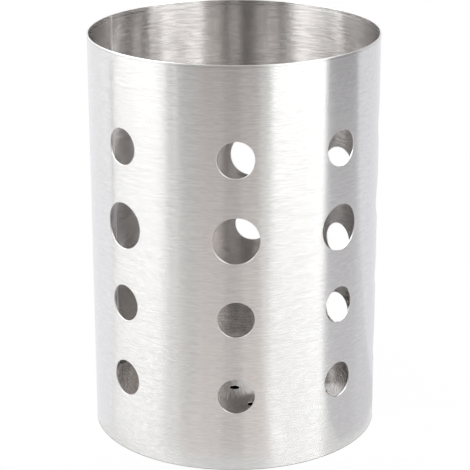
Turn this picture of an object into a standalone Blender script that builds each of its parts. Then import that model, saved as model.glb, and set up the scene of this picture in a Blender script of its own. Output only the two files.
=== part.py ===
"""A perforated cutlery holder: a punched sheet rolled into a tube, with a pressed drain floor fixed inside it.

Metres, +Z up. The origin is the middle of the circle on which the tube stands, and the middle front column of
holes faces -Y. Every angle is a turn about +Z, counted from -Y towards +X.
"""

import math

import bmesh
import bpy
from mathutils import Matrix, Vector

# Tube
TUBE_DIAMETER = 0.120
TUBE_HEIGHT = 0.169
TUBE_SHEET = 0.0005
TUBE_SIDES = 96

# Holes punched in the tube's sheet, with the rows listed from the bottom up
SMALL_HOLE = 0.0150
LARGE_HOLE = 0.0192
ROW_HOLES = (SMALL_HOLE, SMALL_HOLE, LARGE_HOLE, SMALL_HOLE)
LOWEST_ROW_HEIGHT = 0.0325
ROW_PITCH = 0.0330
COLUMN_DEGREES = (0.0, 44.3, 86.2, 128.2, 171.7, 215.3, 267.4, 311.5)
HOLE_SIDES = 28

# Weld that closes the tube, dressed flush outside and left as a low bead inside
SEAM_DEGREES = 240.5
BEAD_WIDTH = 0.0016
BEAD_HEIGHT = 0.00015
BEAD_END_TRIM = 0.0010
BEAD_SIDES = 6

# Floor, pressed with a flange that points down
FLOOR_HEIGHT = 0.0102
FLOOR_SHEET = 0.0005
FLANGE_CLEARANCE = 0.0003
FLANGE_EDGE_HEIGHT = 0.0010
SHOULDER_RADIUS = 0.0026
SHOULDER_SIDES = 4

# Drain holes: one in the middle and a ring of each count in DRAIN_RING_COUNTS round it
DRAIN_HOLE = 0.0040
DRAIN_RING_STEP = 0.0192
DRAIN_RING_COUNTS = (6, 12)
DRAIN_TURN_DEGREES = 22.3
DRAIN_SIDES = 14

# How far a cutter runs past each face of the sheet that it cuts
CUT_OVERRUN = 0.0020

SMOOTH_DEGREES = 30.0

TUBE_OUTER_RADIUS = TUBE_DIAMETER / 2
TUBE_INNER_RADIUS = TUBE_OUTER_RADIUS - TUBE_SHEET
FLANGE_RADIUS = TUBE_INNER_RADIUS - FLANGE_CLEARANCE


def clear_scene():
    for item in list(bpy.data.objects):
        bpy.data.objects.remove(item, do_unlink=True)


def add_object(name, mesh_maker):
    """A new object in the scene, whose closed mesh mesh_maker fills."""
    mesh = bpy.data.meshes.new(name)
    work = bmesh.new()
    mesh_maker(work)
    bmesh.ops.recalc_face_normals(work, faces=work.faces)
    work.to_mesh(mesh)
    work.free()
    item = bpy.data.objects.new(name, mesh)
    bpy.context.scene.collection.objects.link(item)
    return item


def on_turn(degrees, radius, height):
    """The point at a turn about +Z from -Y, at a distance from the axis and a height."""
    angle = math.radians(degrees)
    return Vector((radius * math.sin(angle), -radius * math.cos(angle), height))


def spin_profile(work, profile, sides):
    """Turns a closed outline of (radius, height) points about +Z into a ring-shaped solid."""
    corners = [work.verts.new(on_turn(0.0, radius, height)) for radius, height in profile]
    edges = [work.edges.new((a, b)) for a, b in zip(corners, corners[1:] + corners[:1])]
    bmesh.ops.spin(
        work,
        geom=corners + edges,
        axis=(0.0, 0.0, 1.0),
        cent=(0.0, 0.0, 0.0),
        angle=math.tau,
        steps=sides,
        use_merge=True,
    )


def arc(centre_radius, centre_height, radius, start_degrees, end_degrees, sides):
    """Points of an arc in the (radius, height) plane, both ends included, counted from outwards to upwards."""
    points = []
    for step in range(sides + 1):
        angle = math.radians(start_degrees + (end_degrees - start_degrees) * step / sides)
        points.append((centre_radius + radius * math.cos(angle), centre_height + radius * math.sin(angle)))
    return points


def add_cutter(name, mesh_maker):
    """A helper solid that shapes another piece and is no piece itself."""
    cutter = add_object(name, mesh_maker)
    cutter.hide_render = True
    cutter.display_type = "WIRE"
    return cutter


def combine(item, helper, operation):
    """Shapes item by the helper solid, with the result kept as item's own mesh."""
    modifier = item.modifiers.new(helper.name, "BOOLEAN")
    modifier.object = helper
    modifier.operation = operation
    modifier.solver = "EXACT"
    shaped = item.evaluated_get(bpy.context.evaluated_depsgraph_get())
    mesh = bpy.data.meshes.new_from_object(shaped)
    item.modifiers.remove(modifier)
    item.data = mesh
    mesh.name = item.name


def finish_surface(item, material):
    """Smooth round faces with crisp cut edges, in one material."""
    item.data.shade_smooth()
    item.data.set_sharp_from_angle(angle=math.radians(SMOOTH_DEGREES))
    item.data.materials.clear()
    item.data.materials.append(material)


def steel(name, color, roughness):
    material = bpy.data.materials.new(name)
    material.use_nodes = True
    shader = material.node_tree.nodes["Principled BSDF"]
    shader.inputs["Base Color"].default_value = (*color, 1.0)
    shader.inputs["Metallic"].default_value = 1.0
    shader.inputs["Roughness"].default_value = roughness
    return material


def tube_mesh(work):
    """The plain rolled sheet, closed to a ring."""
    outline = [
        (TUBE_OUTER_RADIUS, TUBE_HEIGHT),
        (TUBE_OUTER_RADIUS, 0.0),
        (TUBE_INNER_RADIUS, 0.0),
        (TUBE_INNER_RADIUS, TUBE_HEIGHT),
    ]
    spin_profile(work, outline, TUBE_SIDES)


def punch_mesh(work):
    """One round punch through the wall for every hole of every column."""
    depth = TUBE_SHEET + 2 * CUT_OVERRUN
    middle = TUBE_OUTER_RADIUS - TUBE_SHEET / 2
    for degrees in COLUMN_DEGREES:
        outwards = on_turn(degrees, 1.0, 0.0)
        facing = outwards.to_track_quat("Z", "Y").to_matrix().to_4x4()
        for row, diameter in enumerate(ROW_HOLES):
            place = Matrix.Translation(on_turn(degrees, middle, LOWEST_ROW_HEIGHT + row * ROW_PITCH))
            bmesh.ops.create_cone(
                work,
                cap_ends=True,
                segments=HOLE_SIDES,
                radius1=diameter / 2,
                radius2=diameter / 2,
                depth=depth,
                matrix=place @ facing,
            )


def bead_mesh(work):
    """The weld's low rounded bead, half sunk in the wall, upright along the seam."""
    root = TUBE_INNER_RADIUS + TUBE_SHEET / 2
    half_width = BEAD_WIDTH / 2
    outline = [(half_width, root)]
    for step in range(BEAD_SIDES + 1):
        angle = math.pi * step / BEAD_SIDES
        outline.append((half_width * math.cos(angle), TUBE_INNER_RADIUS - BEAD_HEIGHT * math.sin(angle)))
    outline.append((-half_width, root))
    turn = Matrix.Rotation(math.radians(SEAM_DEGREES), 4, "Z")
    corners = [work.verts.new(turn @ Vector((across, -inwards, BEAD_END_TRIM))) for across, inwards in outline]
    foot = work.faces.new(corners)
    raised = bmesh.ops.extrude_face_region(work, geom=[foot])
    tops = [part for part in raised["geom"] if isinstance(part, bmesh.types.BMVert)]
    length = TUBE_HEIGHT - 2 * BEAD_END_TRIM
    bmesh.ops.translate(work, verts=tops, vec=(0.0, 0.0, length))


def make_body_shell():
    shell = add_object("body_shell", tube_mesh)
    bead = add_cutter("weld_bead_guide", bead_mesh)
    combine(shell, bead, "UNION")
    punches = add_cutter("wall_punches", punch_mesh)
    combine(shell, punches, "DIFFERENCE")
    finish_surface(shell, steel("brushed_shell_steel", (0.74, 0.73, 0.72), 0.32))
    return shell


def floor_mesh(work):
    """The pressed floor: flat, round-shouldered and flanged downwards, with its middle drain hole open."""
    shoulder = SHOULDER_RADIUS
    inner_shoulder = max(shoulder - FLOOR_SHEET, FLOOR_SHEET / 10)
    centre_radius = FLANGE_RADIUS - shoulder
    centre_height = FLOOR_HEIGHT - shoulder
    drain_radius = DRAIN_HOLE / 2
    outline = [(drain_radius, FLOOR_HEIGHT)]
    outline += arc(centre_radius, centre_height, shoulder, 90.0, 0.0, SHOULDER_SIDES)
    outline.append((FLANGE_RADIUS, FLANGE_EDGE_HEIGHT))
    outline.append((FLANGE_RADIUS - FLOOR_SHEET, FLANGE_EDGE_HEIGHT))
    outline += arc(centre_radius, centre_height, inner_shoulder, 0.0, 90.0, SHOULDER_SIDES)
    outline.append((drain_radius, FLOOR_HEIGHT - FLOOR_SHEET))
    spin_profile(work, outline, TUBE_SIDES)


def drain_mesh(work):
    """One punch for each drain hole of the rings."""
    depth = FLOOR_SHEET + 2 * CUT_OVERRUN
    for ring, count in enumerate(DRAIN_RING_COUNTS, start=1):
        for step in range(count):
            degrees = DRAIN_TURN_DEGREES + 360.0 * step / count
            centre = on_turn(degrees, ring * DRAIN_RING_STEP, FLOOR_HEIGHT - FLOOR_SHEET / 2)
            bmesh.ops.create_cone(
                work,
                cap_ends=True,
                segments=DRAIN_SIDES,
                radius1=DRAIN_HOLE / 2,
                radius2=DRAIN_HOLE / 2,
                depth=depth,
                matrix=Matrix.Translation(centre),
            )


def make_base_dish():
    dish = add_object("base_dish", floor_mesh)
    punches = add_cutter("drain_punches", drain_mesh)
    combine(dish, punches, "DIFFERENCE")
    finish_surface(dish, steel("pressed_floor_steel", (0.66, 0.65, 0.64), 0.22))
    return dish


clear_scene()
holder = bpy.data.objects.new("cutlery_holder", None)
bpy.context.scene.collection.objects.link(holder)
for piece in (make_body_shell(), make_base_dish()):
    piece.parent = holder
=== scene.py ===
"""A perforated stainless cutlery holder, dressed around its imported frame.

Metres, +Z up, with the middle front column of holes facing -Y. A turn is an angle about +Z in degrees,
counted from -Y towards +X.
"""

import math

import bmesh
import bpy
from mathutils import Matrix, Vector


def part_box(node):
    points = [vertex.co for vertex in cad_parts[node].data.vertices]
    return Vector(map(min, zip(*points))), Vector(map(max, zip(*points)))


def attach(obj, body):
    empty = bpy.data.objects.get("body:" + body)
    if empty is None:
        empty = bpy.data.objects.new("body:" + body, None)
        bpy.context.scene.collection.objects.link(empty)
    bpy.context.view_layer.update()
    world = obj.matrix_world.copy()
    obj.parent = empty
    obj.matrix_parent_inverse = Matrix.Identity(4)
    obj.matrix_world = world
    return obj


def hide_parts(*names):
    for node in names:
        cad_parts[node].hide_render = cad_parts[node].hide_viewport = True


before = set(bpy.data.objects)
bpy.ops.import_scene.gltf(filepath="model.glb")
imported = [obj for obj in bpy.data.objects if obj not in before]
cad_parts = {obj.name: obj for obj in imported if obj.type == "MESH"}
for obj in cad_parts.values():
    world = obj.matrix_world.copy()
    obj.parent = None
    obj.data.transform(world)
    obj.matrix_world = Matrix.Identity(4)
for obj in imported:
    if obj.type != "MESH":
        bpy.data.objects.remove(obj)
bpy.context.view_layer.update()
bpy.context.scene.view_settings.view_transform = "Standard"


# Camera. It stands in front of the holder, a touch left of the middle column, twice as high as the tube, and
# looks down into the open top through a long lens that keeps the walls nearly upright.
CAMERA_TURN = -0.59
CAMERA_DISTANCE = 0.7429
CAMERA_HEIGHT = 0.3384
CAMERA_DIP = 19.145
CAMERA_HEADING = -0.609
CAMERA_ROLL = -0.1
CAMERA_LENS = 142.1


def on_turn(turn, radius, height):
    """The point at a turn from the front, at a distance from the axis and a height."""
    angle = math.radians(turn)
    return Vector((radius * math.sin(angle), -radius * math.cos(angle), height))


camera = bpy.data.objects.new("camera", bpy.data.cameras.new("camera"))
camera.data.lens = CAMERA_LENS
camera.matrix_world = Matrix.Translation(on_turn(CAMERA_TURN, CAMERA_DISTANCE, CAMERA_HEIGHT))
for degrees, axis in ((CAMERA_HEADING, "Z"), (90.0 - CAMERA_DIP, "X"), (CAMERA_ROLL, "Z")):
    camera.matrix_world @= Matrix.Rotation(math.radians(degrees), 4, axis)
bpy.context.scene.collection.objects.link(camera)
bpy.context.scene.camera = camera


# Body shell. A strip of half-millimetre stainless sheet, punched flat, brushed along its length, rolled into
# a tube and butt welded up the back left. The weld is dressed flush outside and left as a low bead inside.
# Every cut edge is deburred, so it has a tiny round.
SHEET = 0.0005
EDGE_ROUND = 0.00018
EDGE_SIDES = 4

# Holes, with the rows listed from the bottom up
SMALL_HOLE = 0.0150
LARGE_HOLE = 0.0192
ROW_HOLES = (SMALL_HOLE, SMALL_HOLE, LARGE_HOLE, SMALL_HOLE)
LOWEST_ROW_HEIGHT = 0.0325
ROW_PITCH = 0.0330
COLUMN_TURNS = (0.0, 44.3, 86.2, 128.2, 171.7, 215.3, 267.4, 311.5)

# Weld, whose bead fades out at the tube's ends
SEAM_TURN = 240.5
BEAD_WIDTH = 0.0016
BEAD_HEIGHT = 0.00006
BEAD_SIDES = 10
BEAD_FADE = 0.0010

# Thin line of painted shade under the rim, inside and outside, made of darker steel
RIM_LINE_WIDTH = 0.0005
OUTER_LINE_DROP = 0.0011
INNER_LINE_DROP = 0.0021

# Facets of the mesh
CELL_SIDES_ACROSS = 16
CELL_SIDES_UP = 10
BAND_SIDES = 6
CELL_RING_SHARES = (0.0, 0.05, 0.14, 0.28, 0.48, 0.72, 1.0)

# Points this near are joined, and faces past this share of the sheet's depth are its inner ones
SAME_PLACE = 0.000001
INNER_DEPTH_SHARE = 0.9

# Finishes of the tube, in the order of its material slots
OUTSIDE, INSIDE, CUT_EDGE, WELD, RIM_SHADE_LINE, RIM_SHADE_BAND = range(6)

shell_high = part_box("body_shell")[1]
TUBE_RADIUS = shell_high.x
TUBE_HEIGHT = shell_high.z


def steps(start, end, count):
    """Equal steps from start towards end, without the end."""
    return [start + (end - start) * step / count for step in range(count)]


def bead_rise(across, up):
    """How far the weld's bead stands in from the wall at a place on the flat sheet."""
    from_seam = abs(across - TUBE_RADIUS * math.radians(SEAM_TURN))
    if from_seam >= BEAD_WIDTH / 2:
        return 0.0
    crown = math.cos(math.pi * from_seam / BEAD_WIDTH)
    fade = min(1.0, up / BEAD_FADE, (TUBE_HEIGHT - up) / BEAD_FADE)
    return BEAD_HEIGHT * crown * crown * max(0.0, fade)


def rolled(across, up, depth):
    """Where a place on the flat sheet lies in the tube. Depth is counted inwards from its outer face."""
    inwards = depth + bead_rise(across, up) * depth / SHEET
    return on_turn(math.degrees(across / TUBE_RADIUS), TUBE_RADIUS - inwards, up)


def rolled_facing(across, up, depth, outwards, sideways, upwards):
    """The direction on the tube of a direction on the flat sheet."""
    turn = math.degrees(across / TUBE_RADIUS)
    radial = on_turn(turn, 1.0, 0.0)
    tangent = on_turn(turn + 90.0, 1.0, 0.0)
    step = BEAD_WIDTH / BEAD_SIDES
    slope = (bead_rise(across + step, up) - bead_rise(across - step, up)) / (2 * step)
    slope *= depth / SHEET
    tilted = tangent * (sideways - slope * outwards) if slope else tangent * sideways
    return (radial * outwards + tilted + Vector((0.0, 0.0, upwards))).normalized()


def cut_edge():
    """How a cut edge runs from one face of the sheet to the other, without the places on the faces.

    Each place is the way back from the cut, the depth and the angle by which its face turns to the cut.
    """
    places = []
    for corner_depth, start in ((EDGE_ROUND, 0.0), (SHEET - EDGE_ROUND, 90.0)):
        for side in range(EDGE_SIDES + 1):
            angle = math.radians(start + 90.0 * side / EDGE_SIDES)
            back = EDGE_ROUND * (1.0 - math.sin(angle))
            places.append((back, corner_depth - EDGE_ROUND * math.cos(angle), angle))
    return places[1:-1]


class SheetWork:
    """Sheet metal drawn flat in rows of points and bent to shape, with its true facings kept."""

    def __init__(self, bend, bend_facing):
        self.bend = bend
        self.bend_facing = bend_facing
        self.mesh = bmesh.new()
        self.facings = self.mesh.verts.layers.float_vector.new("facing")

    def row(self, places):
        """Adds a row of points: x, y, depth and the flat direction (outwards, sideways, upwards) of each."""
        made = []
        for x, y, depth, facing in places:
            corner = self.mesh.verts.new(self.bend(x, y, depth))
            corner[self.facings] = self.bend_facing(x, y, depth, *facing)
            made.append(corner)
        return made

    def skin(self, rows, closed, finish):
        """Covers the space between neighbouring rows with faces."""
        for lower, upper in zip(rows, rows[1:]):
            count = len(lower) if closed else len(lower) - 1
            for index in range(count):
                following = (index + 1) % len(lower)
                corners = (lower[index], lower[following], upper[following], upper[index])
                self.mesh.faces.new(corners).material_index = finish

    def punched_cell(self, outline, centre, radius, finishes):
        """A patch of both faces of the sheet round a punched hole, from its outline to the cut edge."""
        outer_finish, inner_finish, cut_finish = finishes
        spokes = []
        for x, y in outline:
            along = Vector((x - centre[0], y - centre[1]))
            spokes.append((x, y, along.normalized()))

        def flat_row(share, depth, outwards):
            """A ring on one face of the sheet, at a share of the way from the hole to the outline."""
            places = []
            for x, y, spoke in spokes:
                start_x = centre[0] + spoke.x * (radius + EDGE_ROUND)
                start_y = centre[1] + spoke.y * (radius + EDGE_ROUND)
                place = (start_x + (x - start_x) * share, start_y + (y - start_y) * share)
                places.append((*place, depth, (outwards, 0.0, 0.0)))
            return self.row(places)

        outer = [flat_row(share, 0.0, 1.0) for share in reversed(CELL_RING_SHARES)]
        inner = [flat_row(share, SHEET, -1.0) for share in CELL_RING_SHARES]
        cut = []
        for back, depth, angle in cut_edge():
            places = []
            for x, y, spoke in spokes:
                place = (centre[0] + spoke.x * (radius + back), centre[1] + spoke.y * (radius + back))
                facing = (math.cos(angle), -spoke.x * math.sin(angle), -spoke.y * math.sin(angle))
                places.append((*place, depth, facing))
            cut.append(self.row(places))
        self.skin(outer, True, outer_finish)
        self.skin([outer[-1], *cut, inner[0]], True, cut_finish)
        self.skin(inner, True, inner_finish)

    def finished(self, name, materials):
        """The work as an object, with neighbouring patches joined and every corner's true facing set."""
        bmesh.ops.remove_doubles(self.mesh, verts=self.mesh.verts, dist=SAME_PLACE)
        bmesh.ops.recalc_face_normals(self.mesh, faces=self.mesh.faces)
        mesh = bpy.data.meshes.new(name)
        self.mesh.to_mesh(mesh)
        self.mesh.free()
        mesh.shade_smooth()
        facings = [tuple(item.vector) for item in mesh.attributes["facing"].data]
        mesh.normals_split_custom_set_from_vertices(facings)
        mesh.attributes.remove(mesh.attributes["facing"])
        for material in materials:
            mesh.materials.append(material)
        item = bpy.data.objects.new(name, mesh)
        bpy.context.scene.collection.objects.link(item)
        return item


class Signal:
    """What one node of a finish hands to another. Arithmetic with it adds Math nodes."""

    def __init__(self, finish, socket):
        self.finish = finish
        self.socket = socket

    def maths(self, operation, first, second):
        """The outcome of a Math node, as a new signal."""
        return self.finish.node("ShaderNodeMath", {"operation": operation}, {0: first, 1: second})

    def __add__(self, other):
        return self.maths("ADD", self, other)

    def __radd__(self, other):
        return self.maths("ADD", other, self)

    def __sub__(self, other):
        return self.maths("SUBTRACT", self, other)

    def __rsub__(self, other):
        return self.maths("SUBTRACT", other, self)

    def __mul__(self, other):
        return self.maths("MULTIPLY", self, other)

    def __rmul__(self, other):
        return self.maths("MULTIPLY", other, self)


class Finish:
    """The nodes of one material or of the world. Every node is added by its one method."""

    def __init__(self, tree):
        self.tree = tree
        tree.nodes.clear()

    def node(self, kind, settings=None, values=None, output=0):
        """Adds a node, with its settings first and then a value or a link for each named socket."""
        made = self.tree.nodes.new(kind)
        for name, value in (settings or {}).items():
            if name == "stops":
                for stop, (place, color) in zip(made.color_ramp.elements, value):
                    stop.position = place
                    stop.color = (*color, 1.0)
            else:
                setattr(made, name, value)
        for name, value in (values or {}).items():
            if isinstance(value, Signal):
                self.tree.links.new(value.socket, made.inputs[name])
            else:
                made.inputs[name].default_value = value
        return Signal(self, made.outputs[output]) if made.outputs else None


BRUSH_WAVE_LENGTH = 0.010
LONG_STROKE = 4.0
LONG_SHARE = 0.35
BRUSH_DIRECTION = 0.25
ROUGHNESS_SWING = 0.03
TONE_ENDS = (0.3, 0.7)


def brush_lines(finish, pitch, length, wave_rise):
    """The belt's strokes round the tube, from 0 to 1: long sideways, fine upwards and a little wavy."""
    place = finish.node("ShaderNodeTexCoord", output="Object")
    wave = finish.node(
        "ShaderNodeTexNoise",
        values={"Vector": place, "Scale": 1.0 / BRUSH_WAVE_LENGTH, "Detail": 1.0},
    )
    x, y, z = [finish.node("ShaderNodeSeparateXYZ", values={"Vector": place}, output=axis) for axis in "XYZ"]
    stretched = finish.node(
        "ShaderNodeCombineXYZ",
        values={
            "X": x * (1.0 / length),
            "Y": y * (1.0 / length),
            "Z": (z + (wave - 0.5) * wave_rise) * (1.0 / pitch),
        },
    )
    return finish.node("ShaderNodeTexNoise", values={"Vector": stretched, "Scale": 1.0, "Detail": 1.0})


def steel(name, color, roughness, anisotropy, pitch, length, wave_rise, depth, lean, mottle):
    """Brushed stainless steel. Its strokes run round the tube, so its shine spreads up and down the wall.

    Pitch and length are a stroke's, wave_rise is how far it wanders and depth how deep it is. Lean is how far
    a stroke tilts the face sideways, and mottle how much paler or darker than the color it gets.
    """
    material = bpy.data.materials.new(name)
    material.use_nodes = True
    finish = Finish(material.node_tree)
    short = brush_lines(finish, pitch, length, wave_rise)
    long = brush_lines(finish, pitch, length * LONG_STROKE, wave_rise)
    strokes = short * (1.0 - LONG_SHARE) + long * LONG_SHARE
    tones = [[channel * gain for channel in color] for gain in (1.0 - mottle, 1.0 + mottle)]
    tone = finish.node("ShaderNodeValToRGB", {"stops": zip(TONE_ENDS, tones)}, {"Fac": strokes})
    wall = finish.node("ShaderNodeNewGeometry", output="Normal")
    around = finish.node(
        "ShaderNodeVectorMath",
        {"operation": "CROSS_PRODUCT"},
        {0: (0.0, 0.0, 1.0), 1: wall},
    )
    sideways = finish.node(
        "ShaderNodeVectorMath",
        {"operation": "SCALE"},
        {0: around, "Scale": (strokes - 0.5) * lean},
    )
    leaning = finish.node("ShaderNodeVectorMath", {"operation": "ADD"}, {0: wall, 1: sideways})
    facing = finish.node("ShaderNodeVectorMath", {"operation": "NORMALIZE"}, {0: leaning})
    relief = finish.node(
        "ShaderNodeBump",
        values={"Height": strokes, "Distance": depth, "Strength": 1.0, "Normal": facing},
    )
    shader = finish.node(
        "ShaderNodeBsdfPrincipled",
        values={
            "Base Color": tone,
            "Metallic": 1.0,
            "Roughness": roughness + (strokes - 0.5) * ROUGHNESS_SWING,
            "Anisotropic": anisotropy,
            "Anisotropic Rotation": BRUSH_DIRECTION,
            "Normal": relief,
        },
    )
    finish.node("ShaderNodeOutputMaterial", values={"Surface": shader})
    return material


def tube_finishes():
    """The six steels of the tube, in the order of its material slots."""
    return [
        steel("tube_outside", color=(0.735, 0.730, 0.718), roughness=0.26, anisotropy=1.0, pitch=0.0005,
              length=0.0028, wave_rise=0.0001, depth=0.0000005, lean=0.02, mottle=0.072),
        # Painted shade: the inside steel is darker than the outside, for the shade inside the tube.
        steel("tube_inside_painted_shade", color=(0.71, 0.691, 0.677), roughness=0.235, anisotropy=1.0, pitch=0.00040,
              length=0.0050, wave_rise=0.0001, depth=0.0000002, lean=0.01, mottle=0.19),
        steel("tube_cut_edge", color=(0.70, 0.69, 0.68), roughness=0.40, anisotropy=0.3, pitch=0.0011,
              length=0.022, wave_rise=0.0, depth=0.000002, lean=0.0, mottle=0.01),
        # Painted highlight: the weld steel is paler than the wall, for the bright line along the bead.
        steel("weld", color=(0.86, 0.82, 0.80), roughness=0.45, anisotropy=0.0, pitch=0.0011,
              length=0.003, wave_rise=0.0004, depth=0.000005, lean=0.0, mottle=0.05),
        # Painted shade: the rim line is darker steel than the wall beside it.
        steel("rim_painted_shade_line", color=(0.63, 0.625, 0.62), roughness=0.28, anisotropy=1.0, pitch=0.0005,
              length=0.0045, wave_rise=0.0001, depth=0.000001, lean=0.02, mottle=0.08),
        # Painted shade: the band inside the rim is a little darker than the inside steel.
        steel("rim_painted_shade_band", color=(0.702, 0.683, 0.669), roughness=0.235, anisotropy=1.0, pitch=0.00040,
              length=0.0050, wave_rise=0.0001, depth=0.0000002, lean=0.01, mottle=0.18),
    ]


def shell_outline(left, right, low, high):
    """The four sides of a rectangular cell of the flat sheet, anticlockwise, in equal steps."""
    across = steps(left, right, CELL_SIDES_ACROSS)
    up = steps(low, high, CELL_SIDES_UP)
    bottom = [(x, low) for x in across]
    right_side = [(right, y) for y in up]
    top = [(left + right - x, high) for x in across]
    left_side = [(left, low + high - y) for y in up]
    return bottom + right_side + top + left_side


def cell_borders(columns, seam, full_turn):
    """Where the patches of neighbouring columns end and start. Only the weld leaves a strip between them."""
    borders = []
    for here, following in zip(columns, columns[1:] + [columns[0] + full_turn]):
        if here < seam < following:
            borders.append((seam - BEAD_WIDTH / 2, seam + BEAD_WIDTH / 2))
        else:
            middle = (here + following) / 2
            borders.append((middle, middle))
    return borders


def skin_weld_strip(work, seam, lowest, highest):
    """Both faces of the strip that holds the weld, between the patches of its two neighbours."""
    edge = seam - BEAD_WIDTH / 2
    across = steps(edge, edge + BEAD_WIDTH, BEAD_SIDES) + [edge + BEAD_WIDTH]
    heights = steps(lowest, highest, CELL_SIDES_UP * len(ROW_HOLES)) + [highest]
    for depth, outwards, finish in ((0.0, 1.0, OUTSIDE), (SHEET, -1.0, INSIDE)):
        rows = [work.row([(x, up, depth, (outwards, 0.0, 0.0)) for x in across]) for up in heights]
        work.skin(rows, False, finish)


def band_heights(start, end, upwards, line_drop):
    """The rows of a plain end of the tube, from the punched patches to its cut edge."""
    line_start = end - upwards * line_drop
    rest = [line_start + upwards * RIM_LINE_WIDTH, end - upwards * BEAD_FADE, end - upwards * EDGE_ROUND]
    return steps(start, line_start, BAND_SIDES) + [line_start] + sorted(rest, reverse=upwards < 0.0)


def skin_end_band(work, ring, start, end, upwards, finishes):
    """A plain end of the tube past its holes: its outside, its cut edge and its inside."""
    # At the rim the line and band finishes are darker steel, painted shade; at the bottom they are the plain
    # steels.
    outer_line, inner_line, inner_band = finishes
    outer = [work.row([(x, up, 0.0, (1.0, 0.0, 0.0)) for x in ring])
             for up in band_heights(start, end, upwards, OUTER_LINE_DROP)]
    inner = [work.row([(x, up, SHEET, (-1.0, 0.0, 0.0)) for x in ring])
             for up in band_heights(start, end, upwards, INNER_LINE_DROP)]
    cut = []
    for back, depth, angle in cut_edge():
        facing = (math.cos(angle), 0.0, upwards * math.sin(angle))
        cut.append(work.row([(x, end - upwards * back, depth, facing) for x in ring]))
    work.skin(outer[:BAND_SIDES + 1], True, OUTSIDE)
    work.skin(outer[BAND_SIDES:-1], True, outer_line)
    work.skin(outer[-2:], True, OUTSIDE)
    work.skin([outer[-1], *cut, inner[-1]], True, CUT_EDGE)
    work.skin(inner[BAND_SIDES + 1:], True, inner_band)
    work.skin(inner[BAND_SIDES:BAND_SIDES + 2], True, inner_line)
    work.skin(inner[:BAND_SIDES + 1], True, INSIDE)


def mark_weld(work, seam):
    """Gives the faces of the bead, on the inner side of the seam, the weld's finish, which is paler than the
    wall as a painted highlight.
    """
    for face in work.mesh.faces:
        middle = face.calc_center_median()
        across = TUBE_RADIUS * (math.atan2(middle.x, -middle.y) % math.tau)
        inside = math.hypot(middle.x, middle.y) < TUBE_RADIUS - SHEET * INNER_DEPTH_SHARE
        if inside and abs(across - seam) < BEAD_WIDTH / 2:
            face.material_index = WELD


def make_shell():
    """The tube: a patch round every hole, the strip of the weld and the two plain ends."""
    work = SheetWork(rolled, rolled_facing)
    full_turn = math.tau * TUBE_RADIUS
    columns = [TUBE_RADIUS * math.radians(turn) for turn in COLUMN_TURNS]
    seam = TUBE_RADIUS * math.radians(SEAM_TURN)
    borders = cell_borders(columns, seam, full_turn)
    lowest = LOWEST_ROW_HEIGHT - ROW_PITCH / 2
    highest = lowest + ROW_PITCH * len(ROW_HOLES)
    ring = []
    for index, column in enumerate(columns):
        left = borders[index - 1][1] - (full_turn if index == 0 else 0.0)
        right, next_left = borders[index]
        for row, diameter in enumerate(ROW_HOLES):
            low = lowest + row * ROW_PITCH
            outline = shell_outline(left, right, low, low + ROW_PITCH)
            centre = (column, LOWEST_ROW_HEIGHT + row * ROW_PITCH)
            work.punched_cell(outline, centre, diameter / 2, (OUTSIDE, INSIDE, CUT_EDGE))
        ring += steps(left, right, CELL_SIDES_ACROSS)
        if next_left > right:
            ring += steps(right, next_left, BEAD_SIDES)
    skin_weld_strip(work, seam, lowest, highest)
    skin_end_band(work, ring, highest, TUBE_HEIGHT, 1.0, (RIM_SHADE_LINE, RIM_SHADE_LINE, RIM_SHADE_BAND))
    skin_end_band(work, ring, lowest, 0.0, -1.0, (OUTSIDE, INSIDE, INSIDE))
    mark_weld(work, seam)
    return work.finished("brushed_tube", tube_finishes())


shell = make_shell()
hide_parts("body_shell")
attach(shell, "root")


# Base dish. A disc of bright rolled stainless, punched with drain holes and pressed to a flat floor with a
# round shoulder and a short flange. It is pushed up inside the tube, flange down, and tacked to it there.
SHOULDER_RADIUS = 0.0026
SHOULDER_SIDES = 8
FLANGE_SIDES = 4

# Drain holes: one in the middle and a ring of each count round it
DRAIN_HOLE = 0.0040
DRAIN_STEP = 0.0192
DRAIN_TURN = 22.3
DRAIN_RING_COUNTS = (6, 12)
INNER_ARC_SIDES = (4, 6)
OUTER_ARC_SIDES = (12, 10)
DRAIN_CELL_SIDES = 6

# Finish of the rolled sheet, and the dish's material slots
ROLLER_LINE_PITCH = 0.00015
ROLLER_LINE_LENGTH = 0.010
FLOOR_TONES = ((0.56, 0.54, 0.53), (0.60, 0.58, 0.57))
ROLLED_FACE, DISH_CUT_EDGE = range(2)

dish_low, dish_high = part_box("base_dish")
DISH_RADIUS = dish_high.x
FLOOR_HEIGHT = dish_high.z
FLAT_REACH = DISH_RADIUS - SHOULDER_RADIUS
SHOULDER_REACH = FLAT_REACH + SHOULDER_RADIUS * math.pi / 2
DISC_REACH = SHOULDER_REACH + FLOOR_HEIGHT - SHOULDER_RADIUS - dish_low.z


def pressed_angle(reach):
    """How far the press turns the sheet down at a distance from the middle of the flat disc."""
    return min(max((reach - FLAT_REACH) / SHOULDER_RADIUS, 0.0), math.pi / 2)


def pressed(x, y, depth):
    """Where a place on the flat disc lies once it is pressed. Depth is counted down from its upper face."""
    reach = math.hypot(x, y)
    angle = pressed_angle(reach)
    bend = SHOULDER_RADIUS - depth
    radius = min(reach, FLAT_REACH) + bend * math.sin(angle)
    height = FLOOR_HEIGHT - SHOULDER_RADIUS + bend * math.cos(angle) - max(reach - SHOULDER_REACH, 0.0)
    return Vector((x * radius / reach, y * radius / reach, height))


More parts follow.
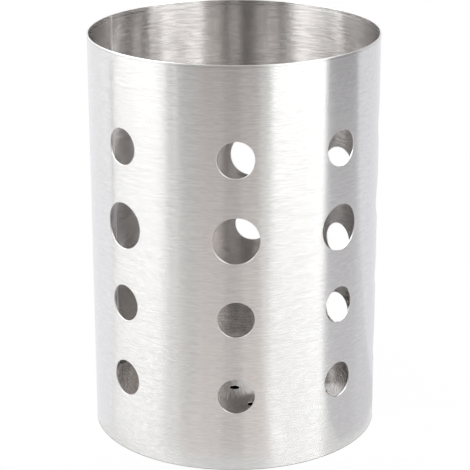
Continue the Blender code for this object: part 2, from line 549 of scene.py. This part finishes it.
def pressed_facing(x, y, depth, outwards, sideways, upwards):
    """The direction on the pressed disc of a direction on the flat one, which is the same at every depth."""
    angle = pressed_angle(math.hypot(x, y))
    spoke = Vector((x, y, 0.0)).normalized()
    around = Vector((-spoke.y, spoke.x, 0.0))
    flat = Vector((sideways, upwards, 0.0))
    face = spoke * math.sin(angle) + Vector((0.0, 0.0, math.cos(angle)))
    downhill = spoke * math.cos(angle) - Vector((0.0, 0.0, math.sin(angle)))
    return (face * outwards + downhill * flat.dot(spoke) + around * flat.dot(around)).normalized()


def flat_place(turn, radius):
    """The x and y of a place on the flat disc."""
    return tuple(on_turn(turn, radius, 0.0))[:2]


def flat_arc(radius, start, end, sides):
    """Places on the flat disc from one turn to another, without the last."""
    return [flat_place(turn, radius) for turn in steps(start, end, sides)]


def flat_spoke(turn, start, end):
    """Places on the flat disc from one radius to another at one turn, without the last."""
    return [flat_place(turn, radius) for radius in steps(start, end, DRAIN_CELL_SIDES)]


def drain_outline(ring, left, right):
    """The patch round a drain hole: a piece of a ring between two turns."""
    low = DRAIN_STEP * (ring + 0.5)
    high = low + DRAIN_STEP
    outline = flat_arc(low, left, right, INNER_ARC_SIDES[ring])
    outline += flat_spoke(right, low, high)
    outline += flat_arc(high, right, left, OUTER_ARC_SIDES[ring])
    outline += flat_spoke(left, high, low)
    return outline


def disc_ring(work, spokes, reach, depth, outwards, along):
    """A ring of points at one distance from the disc's middle, all facing alike out of it and along it."""
    return work.row([(*(spoke * reach), depth, (outwards, *(spoke * along))) for spoke in spokes])


def polished_floor(name, roughness, line_height):
    """Bright rolled sheet with fine roller lines from front to back, which blur what it mirrors sideways."""
    material = bpy.data.materials.new(name)
    material.use_nodes = True
    finish = Finish(material.node_tree)
    place = finish.node("ShaderNodeTexCoord", output="Object")
    stretched = finish.node(
        "ShaderNodeVectorMath",
        {"operation": "MULTIPLY"},
        {0: place, 1: (1.0 / ROLLER_LINE_PITCH, 1.0 / ROLLER_LINE_LENGTH, 1.0)},
    )
    lines = finish.node("ShaderNodeTexNoise", values={"Vector": stretched, "Scale": 1.0, "Detail": 1.0})
    tone = finish.node("ShaderNodeValToRGB", {"stops": zip(TONE_ENDS, FLOOR_TONES)}, {"Fac": lines})
    relief = finish.node("ShaderNodeBump", values={"Height": lines, "Distance": line_height, "Strength": 1.0})
    shader = finish.node(
        "ShaderNodeBsdfPrincipled",
        values={"Base Color": tone, "Metallic": 1.0, "Roughness": roughness, "Normal": relief},
    )
    finish.node("ShaderNodeOutputMaterial", values={"Surface": shader})
    return material


def make_dish():
    """The floor: a patch round every drain hole, then plain rings over the shoulder and down the flange."""
    work = SheetWork(pressed, pressed_facing)
    finishes = (ROLLED_FACE, ROLLED_FACE, DISH_CUT_EDGE)
    turn = DRAIN_TURN - 180.0 / DRAIN_RING_COUNTS[0]
    outline = flat_arc(DRAIN_STEP / 2, turn, turn + 360.0, DRAIN_RING_COUNTS[0] * INNER_ARC_SIDES[0])
    work.punched_cell(outline, (0.0, 0.0), DRAIN_HOLE / 2, finishes)
    for ring, count in enumerate(DRAIN_RING_COUNTS):
        for hole in range(count):
            turn = DRAIN_TURN + 360.0 * hole / count
            outline = drain_outline(ring, turn - 180.0 / count, turn + 180.0 / count)
            centre = flat_place(turn, DRAIN_STEP * (ring + 1))
            work.punched_cell(outline, centre, DRAIN_HOLE / 2, finishes)

    turn = DRAIN_TURN - 180.0 / DRAIN_RING_COUNTS[-1]
    sides = DRAIN_RING_COUNTS[-1] * OUTER_ARC_SIDES[-1]
    spokes = [Vector(place) for place in flat_arc(1.0, turn, turn + 360.0, sides)]
    start = DRAIN_STEP * (len(DRAIN_RING_COUNTS) + 0.5)
    end = DISC_REACH - EDGE_ROUND
    reaches = [start, (start + FLAT_REACH) / 2]
    reaches += steps(FLAT_REACH, SHOULDER_REACH, SHOULDER_SIDES)
    reaches += steps(SHOULDER_REACH, end, FLANGE_SIDES) + [end]
    outer = [disc_ring(work, spokes, reach, 0.0, 1.0, 0.0) for reach in reaches]
    inner = [disc_ring(work, spokes, reach, SHEET, -1.0, 0.0) for reach in reversed(reaches)]
    cut = [disc_ring(work, spokes, DISC_REACH - back, depth, math.cos(angle), math.sin(angle))
           for back, depth, angle in cut_edge()]
    work.skin(outer, True, ROLLED_FACE)
    work.skin([outer[-1], *cut, inner[0]], True, DISH_CUT_EDGE)
    work.skin(inner, True, ROLLED_FACE)
    return work.finished("pressed_floor", [
        polished_floor("rolled_floor", roughness=0.06, line_height=0.00004),
        polished_floor("floor_cut_edge", roughness=0.3, line_height=0.0),
    ])


dish = make_dish()
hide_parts("base_dish")
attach(dish, "root")


# Table and backdrop. A plain white table in a white room, which the camera, the gloss and the holes all see.
# Under the holder the table is painted dark as shade, because hardly any light gets there.
TABLE_REACH = 1.5
TABLE_DROP = 0.00005
TABLE_TURNS = range(0, 361, 30)
TABLE_TONE = 0.95
PAINTED_SHADE_TONE = 0.01
TABLE_GLOW_SHARE = 0.92
AMBIENT_LIGHT = 0.95


def grey(value):
    """A color without any tint."""
    return (value, value, value)


def add_stage(name, mesh):
    """A card of the photo studio, which is no part of the object."""
    item = bpy.data.objects.new(name, mesh)
    bpy.context.scene.collection.objects.link(item)
    return item


def glowing_mesh(name, rows):
    """A sheet between rows of corners, each given as its place and its glow."""
    work = bmesh.new()
    glow = work.verts.layers.float_color.new("glow")
    made = []
    for row in rows:
        corners = []
        for place, color in row:
            corner = work.verts.new(place)
            corner[glow] = (*color, 1.0)
            corners.append(corner)
        made.append(corners)
    for lower, upper in zip(made, made[1:]):
        for index in range(len(lower) - 1):
            work.faces.new((lower[index], lower[index + 1], upper[index + 1], upper[index]))
    mesh = bpy.data.meshes.new(name)
    work.to_mesh(mesh)
    work.free()
    return mesh


def rays_seen(finish):
    """1 for the rays that show a surface: from the camera, from gloss and from what lets light through."""
    seen = finish.node("ShaderNodeLightPath", output="Is Camera Ray")
    for name in ("Is Glossy Ray", "Is Transmission Ray"):
        ray = finish.node("ShaderNodeLightPath", output=name)
        seen = finish.node("ShaderNodeMath", {"operation": "MAXIMUM"}, {0: seen, 1: ray})
    return seen


def make_table():
    """The table, which is seen as plain white but takes and gives light like a matt board."""
    rows = [[(on_turn(turn, radius, -TABLE_DROP), grey(1.0)) for turn in TABLE_TURNS]
            for radius in (0.0, TABLE_REACH)]
    table = add_stage("table", glowing_mesh("table", rows))
    material = bpy.data.materials.new("white_table")
    material.use_nodes = True
    finish = Finish(material.node_tree)
    seen = rays_seen(finish)
    place = finish.node("ShaderNodeNewGeometry", output="Position")
    reach = finish.node("ShaderNodeVectorMath", {"operation": "LENGTH"}, {0: place}, output="Value")
    clear = finish.node("ShaderNodeMath", {"operation": "GREATER_THAN"}, {0: reach, 1: TUBE_RADIUS})
    # Painted shade: the table is nearly black under the holder.
    tone = clear * (TABLE_TONE - PAINTED_SHADE_TONE) + PAINTED_SHADE_TONE
    matt = finish.node("ShaderNodeBsdfDiffuse", values={"Color": tone})
    glow = finish.node("ShaderNodeEmission", values={"Color": (1.0, 1.0, 1.0, 1.0), "Strength": 1.0})
    share = seen * TABLE_GLOW_SHARE * clear
    mixed = finish.node("ShaderNodeMixShader", values={0: share, 1: matt, 2: glow})
    finish.node("ShaderNodeOutputMaterial", values={"Surface": mixed})
    table.data.materials.append(material)


make_table()

world = bpy.data.worlds.new("white_room")
world.use_nodes = True
bpy.context.scene.world = world
room = Finish(world.node_tree)
room_light = AMBIENT_LIGHT + rays_seen(room) * (1.0 - AMBIENT_LIGHT)
white = room.node("ShaderNodeBackground", values={"Color": (1.0, 1.0, 1.0, 1.0), "Strength": room_light})
room.node("ShaderNodeOutputWorld", values={"Surface": white})


# Lamps and screens. A soft light stands close on the left above the table, and a large one further off on the
# right. Between them the front of the room is dark, and so is a strip behind the right light. The gloss alone
# sees these screens, and the rest of the room stays white.
SCREEN_EYE = 0.1
CARD_LIFT = 0.0001
ROOM_REACH = 1.0


def add_screen(name, rows):
    """A glowing sheet that only the gloss sees, between rows of corners given as their place and glow."""
    screen = add_stage(name, glowing_mesh(name, rows))
    material = bpy.data.materials.new(name)
    material.use_nodes = True
    finish = Finish(material.node_tree)
    color = finish.node("ShaderNodeAttribute", {"attribute_name": "glow"}, output="Color")
    shine = finish.node("ShaderNodeEmission", values={"Color": color, "Strength": 1.0})
    finish.node("ShaderNodeOutputMaterial", values={"Surface": shine})
    screen.data.materials.append(material)
    screen.visible_camera = False
    screen.visible_diffuse = False
    screen.visible_shadow = False


def make_wall(name, rows, stops):
    """An upright screen round the table.

    A row is its elevation above the middle of the holder, its first and last turn, and its strength. A stop
    is a share of the way from the first turn to the last, a distance from the axis and a color.
    """
    corners = []
    for elevation, first, last, strength in rows:
        row = []
        for share, radius, color in stops:
            height = SCREEN_EYE + radius * math.tan(math.radians(elevation))
            place = on_turn(first + (last - first) * share, radius, max(height, TABLE_DROP))
            row.append((place, [channel * strength for channel in color]))
        corners.append(row)
    add_screen(name, corners)


def make_card(name, rows):
    """A screen flat on the table. A row is its distance from the axis and the glow at each of its turns."""
    corners = []
    for radius, stops in rows:
        corners.append([(on_turn(turn, radius, CARD_LIFT), color) for turn, color in stops])
    add_screen(name, corners)


def even_stops(radius, color):
    """The stops of a wall that keeps its distance and its color."""
    return ((0.0, radius, color), (1.0, radius, color))


# The left light, with a thin dark line along its far side and a bright wall behind it
LEFT_LIGHT_ROWS = (
    (-12.0, -46.0, -102.5, 0.7),
    (0.0, -46.0, -102.5, 0.7),
    (7.0, -45.5, -103.0, 0.85),
    (17.0, -42.0, -105.5, 1.0),
    (26.0, -40.5, -110.0, 5.0),
    (35.0, -42.0, -117.5, 13.0),
    (45.0, -46.0, -128.0, 6.0),
    (60.0, -59.0, -145.0, 3.0),
)
LEFT_LIGHT_END = 0.47
LEFT_LIGHT_STOPS = (
    (0.0, 0.64, grey(0.02)),
    (0.08, 0.63, grey(0.2)),
    (0.2, 0.62, grey(0.85)),
    (0.35, 0.58, grey(1.0)),
    (0.6, 0.5, grey(1.0)),
    (0.93, LEFT_LIGHT_END, grey(1.05)),
    (1.0, LEFT_LIGHT_END, grey(1.1)),
)
LEFT_LINE_TURN = 3.0
LEFT_LINE_STRENGTH = 0.4
LEFT_BACK_ROWS = (
    (24.0, -113.0, -185.0, 1.3),
    (30.0, -116.0, -185.0, 2.0),
    (60.0, -148.0, -190.0, 1.6),
)
LEFT_BACK_REACH = 0.5
LEFT_BACK_STOPS = (
    (0.0, LEFT_BACK_REACH, grey(2.4)),
    (0.2, LEFT_BACK_REACH, grey(2.0)),
    (0.35, LEFT_BACK_REACH, grey(0.8)),
    (1.0, LEFT_BACK_REACH, grey(0.6)),
)
left_line_rows = []
for elevation, first, last, strength in LEFT_LIGHT_ROWS[:-1]:
    left_line_rows.append((elevation, last, last - LEFT_LINE_TURN, LEFT_LINE_STRENGTH))
make_wall("left_light", LEFT_LIGHT_ROWS, LEFT_LIGHT_STOPS)
make_wall("left_line", left_line_rows, even_stops(LEFT_LIGHT_END, grey(0.5)))
make_wall("left_back", LEFT_BACK_ROWS, LEFT_BACK_STOPS)

# The right light, which stands the further off the more it is to the right
RIGHT_LIGHT_ROWS = (
    (-5.0, 25.8, 71.0, 0.55),
    (12.0, 25.8, 72.5, 0.4),
    (20.0, 26.2, 74.5, 0.8),
    (30.0, 27.3, 78.5, 2.2),
    (40.0, 29.3, 85.0, 2.4),
    (50.0, 32.5, 98.0, 1.5),
    (60.0, 38.0, 118.0, 1.0),
)
RIGHT_LIGHT_STOPS = (
    (0.0, 0.42, grey(2.2)),
    (0.12, 0.65, grey(2.8)),
    (0.6, 1.2, grey(3.0)),
    (0.8, 1.6, grey(3.6)),
    (0.92, 1.75, grey(4.6)),
    (1.0, 1.8, grey(5.0)),
)
make_wall("right_light", RIGHT_LIGHT_ROWS, RIGHT_LIGHT_STOPS)

# The dark strip behind the right light, then the pale back right of the room
RIGHT_DARK_STRENGTH = 0.02
RIGHT_DARK_TURNS = (
    (-5.7, 72.5, 106.0),
    (12.0, 73.5, 107.0),
    (20.0, 75.5, 110.0),
    (30.0, 79.0, 118.0),
    (40.0, 86.0, 128.0),
)
RIGHT_BACK_ROWS = (
    (-5.7, 106.0, 150.0, 0.8),
    (12.0, 107.0, 150.0, 0.7),
    (17.0, 109.0, 150.0, 0.5),
    (30.0, 118.0, 150.0, 0.3),
    (60.0, 128.0, 150.0, 0.3),
)
RIGHT_BACK_STOPS = (
    (0.0, ROOM_REACH, grey(1.0)),
    (1.0, ROOM_REACH, (0.97, 0.97, 1.03)),
)
right_dark_rows = [(*turns, RIGHT_DARK_STRENGTH) for turns in RIGHT_DARK_TURNS]
make_wall("right_dark", right_dark_rows, even_stops(ROOM_REACH, grey(1.0)))
make_wall("right_back", RIGHT_BACK_ROWS, RIGHT_BACK_STOPS)

# The dark front of the room between the lights, and its lowest part, which is grey beside the lights
FRONT_DARK_STRENGTH = 0.012
FRONT_DARK_TURNS = (
    (3.0, -44.0, 25.8),
    (35.0, -42.0, 27.0),
    (65.0, -59.0, 38.0),
)
FRONT_DARK_STOPS = (
    (0.0, ROOM_REACH, grey(1.0)),
    (0.5, ROOM_REACH, (1.4, 0.9, 0.7)),
    (1.0, ROOM_REACH, grey(1.0)),
)
FRONT_LOW_ROWS = (
    (-5.5, -44.0, 25.8, 1.0),
    (3.0, -44.0, 25.8, 1.0),
)
FRONT_LOW_STOPS = (
    (0.0, ROOM_REACH, grey(0.62)),
    (0.24, ROOM_REACH, grey(0.6)),
    (0.29, ROOM_REACH, (0.15, 0.10, 0.07)),
    (0.5, ROOM_REACH, (0.05, 0.03, 0.02)),
    (0.52, ROOM_REACH, grey(0.01)),
    (0.87, ROOM_REACH, grey(0.01)),
    (0.9, ROOM_REACH, grey(0.45)),
    (1.0, ROOM_REACH, grey(0.45)),
)
make_wall("front_dark", [(*turns, FRONT_DARK_STRENGTH) for turns in FRONT_DARK_TURNS], FRONT_DARK_STOPS)
make_wall("front_low", FRONT_LOW_ROWS, FRONT_LOW_STOPS)

# The table as the gloss sees it in front, as a glowing card of painted light and shade: a painted pool of
# light under the left light, a painted shade margin beside it and painted bands to the right. A row is its
# distance from the axis, the far and the near turn of the part under the left light, and that part's glow.
# The stops go on from there to the right.
FRONT_CARD_ROWS = (
    (0.071, -70.0, -40.0, 1.04),
    (0.19, -98.0, -52.5, 1.06),
    (0.31, -105.0, -51.0, 1.13),
    (0.5, -108.5, -51.0, 1.2),
    (ROOM_REACH, -108.0, -51.5, 1.0),
)
FAR_GAIN = 1.1
LIT_MARGIN = 4.0
UNLIT_MARGIN = 5.0
UNLIT_COLOR = (0.87, 0.85, 0.845)
FRONT_CARD_STOPS = (
    (-27.0, (0.84, 0.81, 0.80)),
    (-25.0, (0.94, 0.88, 0.87)),
    (-9.0, (0.93, 0.87, 0.86)),
    (-7.0, (0.83, 0.785, 0.765)),
    (3.0, (0.83, 0.785, 0.765)),
    (5.0, (0.98, 0.91, 0.895)),
    (17.0, (0.98, 0.92, 0.90)),
    (19.0, (1.12, 1.10, 1.09)),
    (25.8, (1.12, 1.11, 1.10)),
)
front_rows = []
for radius, far, near, strength in FRONT_CARD_ROWS:
    lit = [(far, grey(strength * FAR_GAIN)), (near - LIT_MARGIN, grey(strength))]
    front_rows.append((radius, [*lit, (near + UNLIT_MARGIN, UNLIT_COLOR), *FRONT_CARD_STOPS]))
make_card("front_card_painted_light_and_shade", front_rows)

# The table as the gloss sees it on the right and at the back, as glowing cards; the right card is darker, as
# painted shade on the table. A row is its distance from the axis, and the turns at which the right card
# starts, gives way to the back card, and the back card ends.
SIDE_CARD_ROWS = (
    (0.066, 52.0, 116.0, 289.0),
    (0.2, 62.5, 112.0, 258.0),
    (0.4, 69.0, 110.0, 252.0),
    (ROOM_REACH, 73.0, 106.0, 252.0),
)
RIGHT_CARD_MIDDLE = 88.0
RIGHT_CARD_COLOR = (0.82, 0.81, 0.84)
BACK_CARD_MIDDLES = (180.0, 210.0)
BACK_CARD_COLORS = ((0.97, 0.97, 1.02), (1.04, 1.04, 1.08))
right_rows = []
back_rows = []
for radius, start, border, end in SIDE_CARD_ROWS:
    right_rows.append((radius, [(turn, RIGHT_CARD_COLOR) for turn in (start, RIGHT_CARD_MIDDLE, border)]))
    before = [(turn, BACK_CARD_COLORS[0]) for turn in (border, BACK_CARD_MIDDLES[0])]
    after = [(turn, BACK_CARD_COLORS[1]) for turn in (BACK_CARD_MIDDLES[1], end)]
    back_rows.append((radius, before + after))
make_card("right_card_painted_shade", right_rows)
make_card("back_card", back_rows)

# The soft light above, which the gloss doesn't see
LAMP_SIZE = 1.2
LAMP_HEIGHT = 2.2
LAMP_RADIANCE = 1.2
lamp = bpy.data.lights.new("overhead_light", "AREA")
lamp.shape = "SQUARE"
lamp.size = LAMP_SIZE
lamp.energy = LAMP_RADIANCE * math.pi * lamp.size ** 2
overhead_light = bpy.data.objects.new("overhead_light", lamp)
overhead_light.location = (0.0, 0.0, LAMP_HEIGHT)
overhead_light.visible_camera = False
overhead_light.visible_glossy = False
bpy.context.scene.collection.objects.link(overhead_light)
